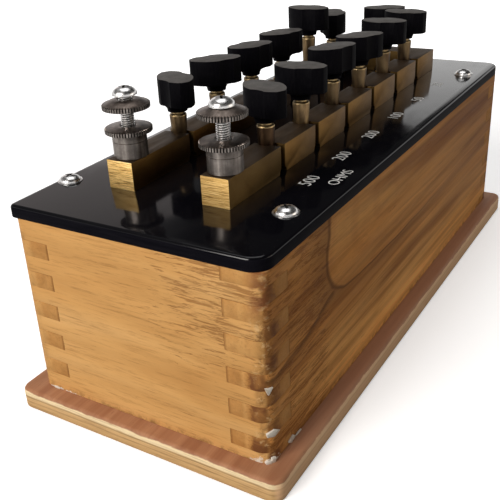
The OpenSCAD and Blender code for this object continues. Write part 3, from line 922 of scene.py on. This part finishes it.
# radius and height in mm, from the tip up
PIN_OUTLINE = [(0.0, 0.0), (0.9, 0.09), (1.6, 0.29), (2.1, 0.52), (2.40, 0.78), (2.54, 1.05),
               (3.0, 9.5), (3.325, 16.0), (3.27, 16.3), (3.09, 16.57), (2.82, 16.74), (2.525, 16.8),
               (2.4, 16.85), (2.4, 17.8), (1.8, 17.8), (1.8, 25.8), (0.0, 25.8)]
SHOULDER = 16.0 * MM
pin_master = turned("pin_master", PIN_OUTLINE)
smooth(pin_master, degrees=30)
for plug in PLUGS:
    low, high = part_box(f"{plug}_pin")
    middle = (low + high) / 2
    pin = copy_of(pin_master, f"pin_{plug}", (middle.x, middle.y, low.z))
    mount(pin, plug, "brass_pin", pin_brass, f"{plug}_pin")
    # painted highlight above the shoulder
    second_finish(pin, shoulder_highlight, lambda face: face.center.z > low.z + SHOULDER)
discard(pin_master)
print("pins turned:", len(PLUGS), "each", round((pin_high - pin_low).z / MM, 2), "mm long")

# %% [markdown]
# ## Terminals
#
# Each terminal is a plated screw with two knurled nuts. A nut is turned with four steps to a
# tooth, and one step in four is drawn in at the rim. The thread is one tooth of the outline
# wound up the shank by a Screw modifier, and the cross in a head is cut with a Boolean.

# %% Knurled nuts
TEETH = 52
TOOTH_DEPTH = 0.55
TOOTH_SPACE = (0.3, 0.7)
RIM_R = 8.5
RIM_BAND = 0.35
CREST = 0.15
SIDEWAYS = 0.5
LOWER_OUTLINE = [(2.62, 0.0), (5.85, 0.0), (6.2, 0.3), (6.2, 5.9), (6.04, 6.0), (6.04, 6.2), (6.2, 6.3),
                 (6.2, 8.5), (6.3, 8.8), (6.5, 8.9), (8.1, 8.92), (RIM_R, 9.1), (RIM_R, 10.45),
                 (8.25, 10.62), (7.6, 10.74), (6.5, 10.96), (5.2, 11.15), (4.4, 11.28), (3.2, 11.3),
                 (2.62, 11.0), (2.62, 0.0)]
UPPER_OUTLINE = [(2.62, 0.0), (7.9, 0.0), (RIM_R, 0.2), (RIM_R, 1.55), (8.25, 1.78), (7.6, 2.02),
                 (6.5, 2.5), (5.2, 3.0), (4.4, 3.25), (3.2, 3.3), (2.62, 3.0), (2.62, 0.0)]


def knurled(name, outline):
    """A nut with teeth round its rim."""
    nut = turned(name, outline, steps=4 * TEETH)

    def between_teeth(points):
        place = points[0]
        turn = math.atan2(place.y, place.x) / math.tau * TEETH % 1.0
        on_rim = math.hypot(place.x, place.y) > (RIM_R - RIM_BAND) * MM
        return on_rim and TOOTH_SPACE[0] < turn < TOOTH_SPACE[1]

    choose(nut, "vertices", between_teeth)
    shrink = 1 - TOOTH_DEPTH / RIM_R
    bpy.ops.transform.resize(value=(shrink, shrink, 1), center_override=(0, 0, 0))
    close_up(nut)
    smooth(nut, degrees=20)
    return nut


def between_teeth_test(axis):
    """True on the sloping faces between the teeth."""
    def test(face):
        out = math.hypot(face.center.x - axis.x, face.center.y - axis.y)
        sloping = (RIM_R - TOOTH_DEPTH) * MM < out < (RIM_R - CREST) * MM
        return sloping and abs(face.normal.z) < SIDEWAYS

    return test


for level, outline in (("lower", LOWER_OUTLINE), ("upper", UPPER_OUTLINE)):
    master = knurled(f"{level}_nut_master", outline)
    for row in ROWS:
        node = f"{row}_{level}_nut"
        low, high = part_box(node)
        middle = (low + high) / 2
        nut = copy_of(master, f"nut_{level}_{row}", (middle.x, middle.y, low.z))
        mount(nut, node, "plated_nut", nut_nickel, node)
        second_finish(nut, caked_grime, between_teeth_test(middle))
    discard(master)
print("nuts knurled with", TEETH, "teeth")

# %% Cross-cut screw heads
DOME_STEPS = 10
HEAD_STEPS = 48
CROSS_TURN = math.radians(33)
CROSS_FLOOR = 0.5
# a recess lies within these shares of a head's radius and height; its faces look this much
# sideways or lie this far under the dome; a thread's root is this thick
RECESS_REACH, RECESS_RISE = 0.7, 0.8
RECESS_WALL, RECESS_SUNK = 0.55, 0.25
ROOT_BAND = 0.06
THREAD_MAJOR, THREAD_MINOR, THREAD_PITCH = 2.48, 2.08, 0.8


def dome_outline(radius, height, brim):
    """The arc of a full, domed head from its crown down to its brim."""
    angles = [math.pi / 2 * i / DOME_STEPS for i in range(DOME_STEPS + 1)]
    return [(radius * math.sin(a), brim + (height - brim) * math.cos(a)) for a in angles]


def cut_cross(head, crown, length, width, depth):
    """Cuts a cross recess that narrows towards its floor."""
    for quarter in (0, 1):
        drop_all()
        bpy.ops.mesh.primitive_cube_add(size=1)
        cutter = bpy.context.object
        cutter.scale = (length * MM, width * MM, 2 * depth * MM)
        settle(cutter, (0, 0, crown * MM), CROSS_TURN + quarter * math.pi / 2)
        choose(cutter, "vertices", lambda points: points[0].z < crown * MM)
        bpy.ops.transform.resize(value=(CROSS_FLOOR, CROSS_FLOOR, 1), center_override=(0, 0, 0))
        bpy.ops.object.mode_set(mode="OBJECT")
        apply_modifier(head, "BOOLEAN", operation="DIFFERENCE", object=cutter, solver="EXACT")
        discard(cutter)
    smooth(head, degrees=30)


def recess_test(places, crown, radius, height, brim):
    """True in a cross recess, under the dome or facing sideways, and at the root of a thread."""
    rise = height - brim

    def test(face):
        for x, y in places:
            out = math.hypot(face.center.x - x, face.center.y - y) / MM
            if out < RECESS_REACH * radius and face.center.z > crown - RECESS_RISE * height * MM:
                dome = crown / MM - rise + rise * math.sqrt(1 - (out / radius) ** 2)
                return face.normal.z < RECESS_WALL or face.center.z / MM < dome - RECESS_SUNK
            if out < THREAD_MINOR + ROOT_BAND and face.center.z < crown - height * MM:
                return True
        return False

    return test


print("a head's dome is turned in", DOME_STEPS, "steps")

# %% Thread
# radius, and height as a share of the pitch
TOOTH = ((THREAD_MINOR, 0.0), (THREAD_MINOR, 0.18), (THREAD_MAJOR, 0.42), (THREAD_MAJOR, 0.58),
         (THREAD_MINOR, 0.82), (THREAD_MINOR, 1.0))
THREAD_STEPS = 32


def screw_thread(name, turns):
    """A thread wound upwards from the origin, closed at both ends."""
    thread = draw_outline(name, [(r, h * THREAD_PITCH) for r, h in TOOTH])
    bpy.ops.object.mode_set(mode="OBJECT")
    apply_modifier(thread, "SCREW", axis="Z", angle=math.tau, screw_offset=THREAD_PITCH * MM,
                   iterations=turns, steps=THREAD_STEPS, render_steps=THREAD_STEPS, use_merge_vertices=True,
                   merge_threshold=TOUCHING, use_smooth_shade=False)
    open_up(thread)
    bpy.ops.mesh.remove_doubles(threshold=TOUCHING)
    bpy.context.tool_settings.mesh_select_mode = SELECT_MODES["edges"]
    bpy.ops.mesh.select_all(action="DESELECT")
    bpy.ops.mesh.select_non_manifold()
    bpy.ops.mesh.fill()
    close_up(thread)
    return thread


def joined(name, *pieces):
    """Joins pieces into the first of them."""
    drop_all()
    for piece in pieces:
        piece.select_set(True)
    bpy.context.view_layer.objects.active = pieces[0]
    bpy.ops.object.join()
    pieces[0].name = pieces[0].data.name = name
    return pieces[0]


print("thread", 2 * THREAD_MAJOR, "mm across, pitch", THREAD_PITCH, "mm")

# %% Terminal screws
TERMINAL_HEAD_R, TERMINAL_HEAD_H, TERMINAL_BRIM = 4.4, 3.0, 0.25
TERMINAL_FOOT = [(TERMINAL_HEAD_R, 0.1), (TERMINAL_HEAD_R - 0.2, 0.0), (0.0, 0.0)]
HEAD_GAP = 0.1
BARE_TURNS = 5
outline = dome_outline(TERMINAL_HEAD_R, TERMINAL_HEAD_H, TERMINAL_BRIM) + TERMINAL_FOOT
head = turned("terminal_head", outline, HEAD_STEPS)
smooth(head, degrees=30)
cut_cross(head, TERMINAL_HEAD_H, length=5.4, width=1.15, depth=1.6)
for row in ROWS:
    node = f"{row}_terminal_screw"
    low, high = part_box(node)
    middle = (low + high) / 2
    top = copy_of(head, "head_copy", (middle.x, middle.y, high.z - TERMINAL_HEAD_H * MM))
    turns = int((high.z - low.z) / MM / THREAD_PITCH) - BARE_TURNS
    shank = screw_thread("shank_copy", turns)
    below = TERMINAL_HEAD_H + HEAD_GAP + (turns + 1) * THREAD_PITCH
    settle(shank, (middle.x, middle.y, high.z - below * MM))
    smooth(shank, degrees=20)
    screw = joined(f"screw_terminal_{row}", top, shank)
    mount(screw, "case", "plated_screw", screw_plate, node)
    in_recess = recess_test([(middle.x, middle.y)], high.z, TERMINAL_HEAD_R, TERMINAL_HEAD_H, TERMINAL_BRIM)
    second_finish(screw, caked_grime, in_recess)
discard(head)
print("terminal screws threaded, turns:", turns)

# %% Panel screws
PANEL_HEAD_R, PANEL_HEAD_H, PANEL_BRIM = 4.6, 2.4, 0.35
PANEL_DOME_R = PANEL_HEAD_R - 0.65
PANEL_FOOT = [(PANEL_HEAD_R, 0.25), (PANEL_HEAD_R, 0.0), (0.0, 0.0)]
# place along and across the panel, and how far the head is turned
PANEL_SCREWS = ((-93.6, -40.75, 0.2), (-100.3, 46.25, 1.1), (98.3, -40.75, 0.6), (98.3, 46.25, 0.9))
outline = dome_outline(PANEL_DOME_R, PANEL_HEAD_H, PANEL_BRIM) + PANEL_FOOT
head = turned("panel_head", outline, HEAD_STEPS)
smooth(head, degrees=30)
cut_cross(head, PANEL_HEAD_H, length=5.2, width=1.25, depth=1.45)
heads = [copy_of(head, f"panel_head_{i}", (x * MM, y * MM, PANEL_TOP), turn)
         for i, (x, y, turn) in enumerate(PANEL_SCREWS)]
discard(head)
screws = joined("screws_panel", *heads)
mount(screws, "case", "plated_screw", screw_plate, "panel_screws")
in_recess = recess_test([(x * MM, y * MM) for x, y, turn in PANEL_SCREWS],
                        PANEL_TOP + PANEL_HEAD_H * MM, PANEL_DOME_R, PANEL_HEAD_H, PANEL_BRIM)
second_finish(screws, caked_grime, in_recess)
print("panel screws:", len(heads))

# %% [markdown]
# ## Numbers
#
# The resistance of each gap is engraved beside it and filled with white. Text is added,
# thinned a little so that it looks cut with a small tool, turned into a mesh and laid on
# the panel. The unit stands beside the first number.

# %% Numbers on the panel
NUMBER_HEIGHT = 5.2 * MM
UNIT_HEIGHT = 4.4 * MM
CAP_SHARE = 0.73
NARROW = 0.92
THINNING = -0.07 * MM
CURVE_STEPS = 6
INK_LIFT = 0.03 * MM
INK_TONES = ((0.30, (0.42, 0.42, 0.41)), (0.55, (0.74, 0.74, 0.72)))
# row, values from the terminals on, and how far across from the pins they stand
VALUES = (("right", ("500", "200", "200", "100", "50", "20"), -19.1 * MM),
          ("left", ("20", "10", "5", "2", "2", "1"), 15.2 * MM))
NUMBER_BACK = 3.3 * MM
UNIT_PLACE = (-58 * MM, -44 * MM)


def engraved(words, x, y, height):
    """Words in white filling, centred on a place on the panel."""
    drop_all()
    bpy.ops.object.text_add(location=(x, y, PANEL_TOP + INK_LIFT))
    text = bpy.context.object
    text.data.body = words
    text.data.size = height / CAP_SHARE
    text.data.align_x, text.data.align_y = "CENTER", "CENTER"
    text.data.offset = THINNING
    text.data.extrude = INK_LIFT
    text.data.resolution_u = CURVE_STEPS
    text.scale = (NARROW, 1, 1)
    bpy.ops.object.convert(target="MESH")
    bpy.ops.object.transform_apply()
    return bpy.context.object


white_ink = Finish("white_filling", roughness=0.55)
white_ink.mottle((0.9, 0.9, 0.9), INK_TONES, detail=4, roughness=0.65)
lettering = []
for row, values, across in VALUES:
    for k, value in zip(GAPS, values):
        low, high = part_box(f"{row}_plug_{k}_pin")
        middle = (low + high) / 2
        lettering.append(engraved(value, middle.x - NUMBER_BACK, middle.y + across, NUMBER_HEIGHT))
lettering.append(engraved("OHMS", *UNIT_PLACE, UNIT_HEIGHT))
mount(joined("numbers", *lettering), "case", "plated_screw", white_ink)
print("numbers engraved:", len(lettering))

# %% [markdown]
# ## Glue and filler
#
# White glue has squeezed out where the case meets the base, and two chips of filler sit in
# broken fingers on the near corner. Each is a thin prism with a few corners, jumbled and
# bevelled; the crumbs around them are in the wood's finish.

# %% Chips
random.seed(7)
CHIP_EASE = 0.25 * MM
JUMBLE, JUMBLE_EVEN = 0.28, 0.3
# place, half thickness, half width, half height, turn about the upright, corners, spin
CHIPS = ((-124.9, -49.85, 37.6, 0.45, 1.9, 2.2, 55, 3, 270),
         (-124.2, -50.25, 20.4, 0.50, 2.5, 1.5, 62, 5, 30),
         (-125.8, -49.3, 9.0, 0.60, 1.5, 1.0, 45, 5, 10),
         (-124.4, -50.4, 9.4, 0.45, 1.2, 1.5, 65, 4, 50),
         (-112.5, -50.9, 9.6, 0.35, 3.2, 1.3, 90, 4, 20),
         (-107.5, -50.9, 8.9, 0.30, 2.2, 0.6, 90, 5, 0),
         (-127.0, 43.5, 8.9, 0.35, 2.0, 0.6, 0, 5, 15))
GLUE_TONES = ((0.28, (0.46, 0.37, 0.27)), (0.48, (0.70, 0.65, 0.57)))
dried_glue = Finish("dried_glue", roughness=0.5)
dried_glue.mottle((0.8, 0.8, 0.8), GLUE_TONES, detail=4, roughness=0.6)
chips = []
for x, y, z, thick, wide, tall, turn, corners, spin in CHIPS:
    drop_all()
    bpy.ops.mesh.primitive_cylinder_add(vertices=corners, radius=1, depth=2, rotation=(0, math.pi / 2, 0))
    chip = bpy.context.object
    bpy.ops.object.transform_apply()
    chip.rotation_euler = (math.radians(spin), 0, 0)
    bpy.ops.object.transform_apply()
    bpy.ops.object.mode_set(mode="EDIT")
    bpy.ops.mesh.select_all(action="SELECT")
    bpy.ops.transform.vertex_random(offset=JUMBLE, uniform=JUMBLE_EVEN, seed=random.randrange(1000))
    bpy.ops.object.mode_set(mode="OBJECT")
    chip.scale = (thick * MM, wide * MM, tall * MM)
    settle(chip, (x * MM, y * MM, z * MM), math.radians(turn))
    apply_modifier(chip, "BEVEL", width=CHIP_EASE, segments=2, limit_method="NONE")
    smooth(chip, degrees=40)
    chips.append(chip)
mount(joined("glue_chips", *chips), "case", "end_wood", dried_glue)
print("chips:", len(chips))

# %% [markdown]
# ## Inside the case
#
# The bobbins, their windings, the leads and the hidden screws stay as the CAD made them.
# They get honest finishes too, for anyone who takes the panel off.

# %% Finishes for the hidden pieces
WIRE_PITCH = 0.6
WIRE_TONES = ((0.3, (0.16, 0.06, 0.025)), (0.7, (0.30, 0.13, 0.05)))
COPPER_TONES = ((0.3, (0.50, 0.20, 0.09)), (0.7, (0.75, 0.36, 0.19)))
wire = Finish("wound_wire", roughness=0.35, metallic=0.6)
wire.mottle((0.2, 0.2, 0.6), WIRE_TONES, detail=3)
wire.emboss(wire.math("SINE", wire.times(wire.z, math.tau / WIRE_PITCH)), 0.6, 0.2)
copper = Finish("copper_lead", roughness=0.3, metallic=1.0)
copper.mottle((0.5, 0.5, 0.3), COPPER_TONES, detail=3)
HIDDEN = {"coil_bobbins": end_wood, "coil_windings": wire, "coil_leads": copper,
          "block_screws": pin_brass, "bobbin_screws": pin_brass}
for node, finish in HIDDEN.items():
    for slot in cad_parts[node].material_slots:
        slot.material = finish.material
print("hidden pieces finished:", len(HIDDEN))

# %% [markdown]
# ## Floor and light
#
# A plain pale floor and soft light. The key stands before the terminal end and a little to
# the left, so the front of the case is bright and the numbered side falls into half shade,
# as in the photograph. A weak lamp hangs overhead, a small warm one stands far out on the
# numbered side, and a dim one at the back leaves a sheen on the panel. Polished pieces see
# a pale backdrop low on the horizon and a dim room above it, so the panel is dark near the
# camera and turns grey towards its far end.

# %% Floor
FLOOR_SIZE = 8
FLOOR_SHADE, FLOOR_PALE = (0.22, 0.215, 0.21), (0.93, 0.93, 0.93)
FLOOR_GLOW = 0.45
FLOOR_FADE = (250.0, 600.0)


def floor_finish():
    """Pale to the camera and in reflections, greyer in the light that it throws back."""
    pale = Finish("pale_floor", roughness=0.9, specular=0.1)
    ray = pale.node("ShaderNodeLightPath").outputs
    seen = pale.math("MAXIMUM", ray["Is Camera Ray"], ray["Is Glossy Ray"])
    pale.set("Base Color", pale.blend(seen, FLOOR_SHADE, FLOOR_PALE))
    reach = pale.node("ShaderNodeVectorMath", {0: pale.place}, operation="LENGTH").outputs["Value"]
    far = pale.fit(pale.step(reach, *FLOOR_FADE), 1.0 - FLOOR_GLOW, FLOOR_GLOW)
    pale.set("Emission Color", (1, 1, 1, 1))
    pale.set("Emission Strength", pale.times(ray["Is Camera Ray"], far))
    return pale


drop_all()
bpy.ops.mesh.primitive_plane_add(size=FLOOR_SIZE, location=(0, 0, cad_low.z))
floor = bpy.context.object
floor.name = "pale_floor"
floor.data.materials.append(floor_finish().material)
print("floor laid,", FLOOR_SIZE, "m wide")

# %% Room and backdrop
SKY_TINT = (1.0, 0.99, 0.98, 1)
SKY = 0.17
SKY_GLOSS = 0.15
DARK_SIDE = 0.03
DARK_SIDE_EDGE = (0.48, 0.56)
BACKDROP = 0.95
BACKDROP_TOP = (0.285, 0.315)
WHITE = 1.0
world = bpy.context.scene.world or bpy.data.worlds.new("studio")
bpy.context.scene.world = world
world.use_nodes = True
sky = Recipe(world.node_tree)
ray = sky.node("ShaderNodeLightPath").outputs
towards = sky.split(sky.node("ShaderNodeTexCoord").outputs["Generated"])
room = sky.mix(sky.step(towards[1], *DARK_SIDE_EDGE), DARK_SIDE, SKY_GLOSS)
room = sky.mix(sky.step(towards[2], *BACKDROP_TOP), BACKDROP, room)
strength = sky.mix(ray["Is Glossy Ray"], SKY, room)
strength = sky.mix(ray["Is Camera Ray"], strength, WHITE)
background = world.node_tree.nodes["Background"].inputs
sky.feed(background["Color"], SKY_TINT)
sky.feed(background["Strength"], strength)
print("room lit at", SKY)

# %% Lamps
# name, place, aim, size, power, tint
LAMPS = (("key", (-1.25, 0.30, 0.80), (0, 0, 0.06), 0.7, 19.0, (1.0, 0.96, 0.92)),
         ("top", (0.2, 0.2, 1.4), (0, 0, 0.08), 0.9, 5.0, (1.0, 1.0, 1.0)),
         ("side", (0.30, -0.98, 0.22), (0, 0, 0.06), 0.6, 1.35, (1.0, 0.86, 0.72)),
         ("wall", (0.75, 1.05, 0.55), (-0.1, 0, 0.08), 0.6, 0.5, (1.0, 0.88, 0.85)))
for name, place, aim, size, power, tint in LAMPS:
    drop_all()
    bpy.ops.object.light_add(type="AREA", location=place)
    light = bpy.context.object
    light.name = name
    light.data.size = size
    light.data.energy = power
    light.data.color = tint
    light.rotation_mode = "QUATERNION"
    light.rotation_quaternion = (Vector(aim) - Vector(place)).to_track_quat("-Z", "Y")
bpy.context.scene.view_settings.view_transform = "Standard"
print("lamps:", len(LAMPS))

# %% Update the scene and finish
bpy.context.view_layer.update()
drop_all()
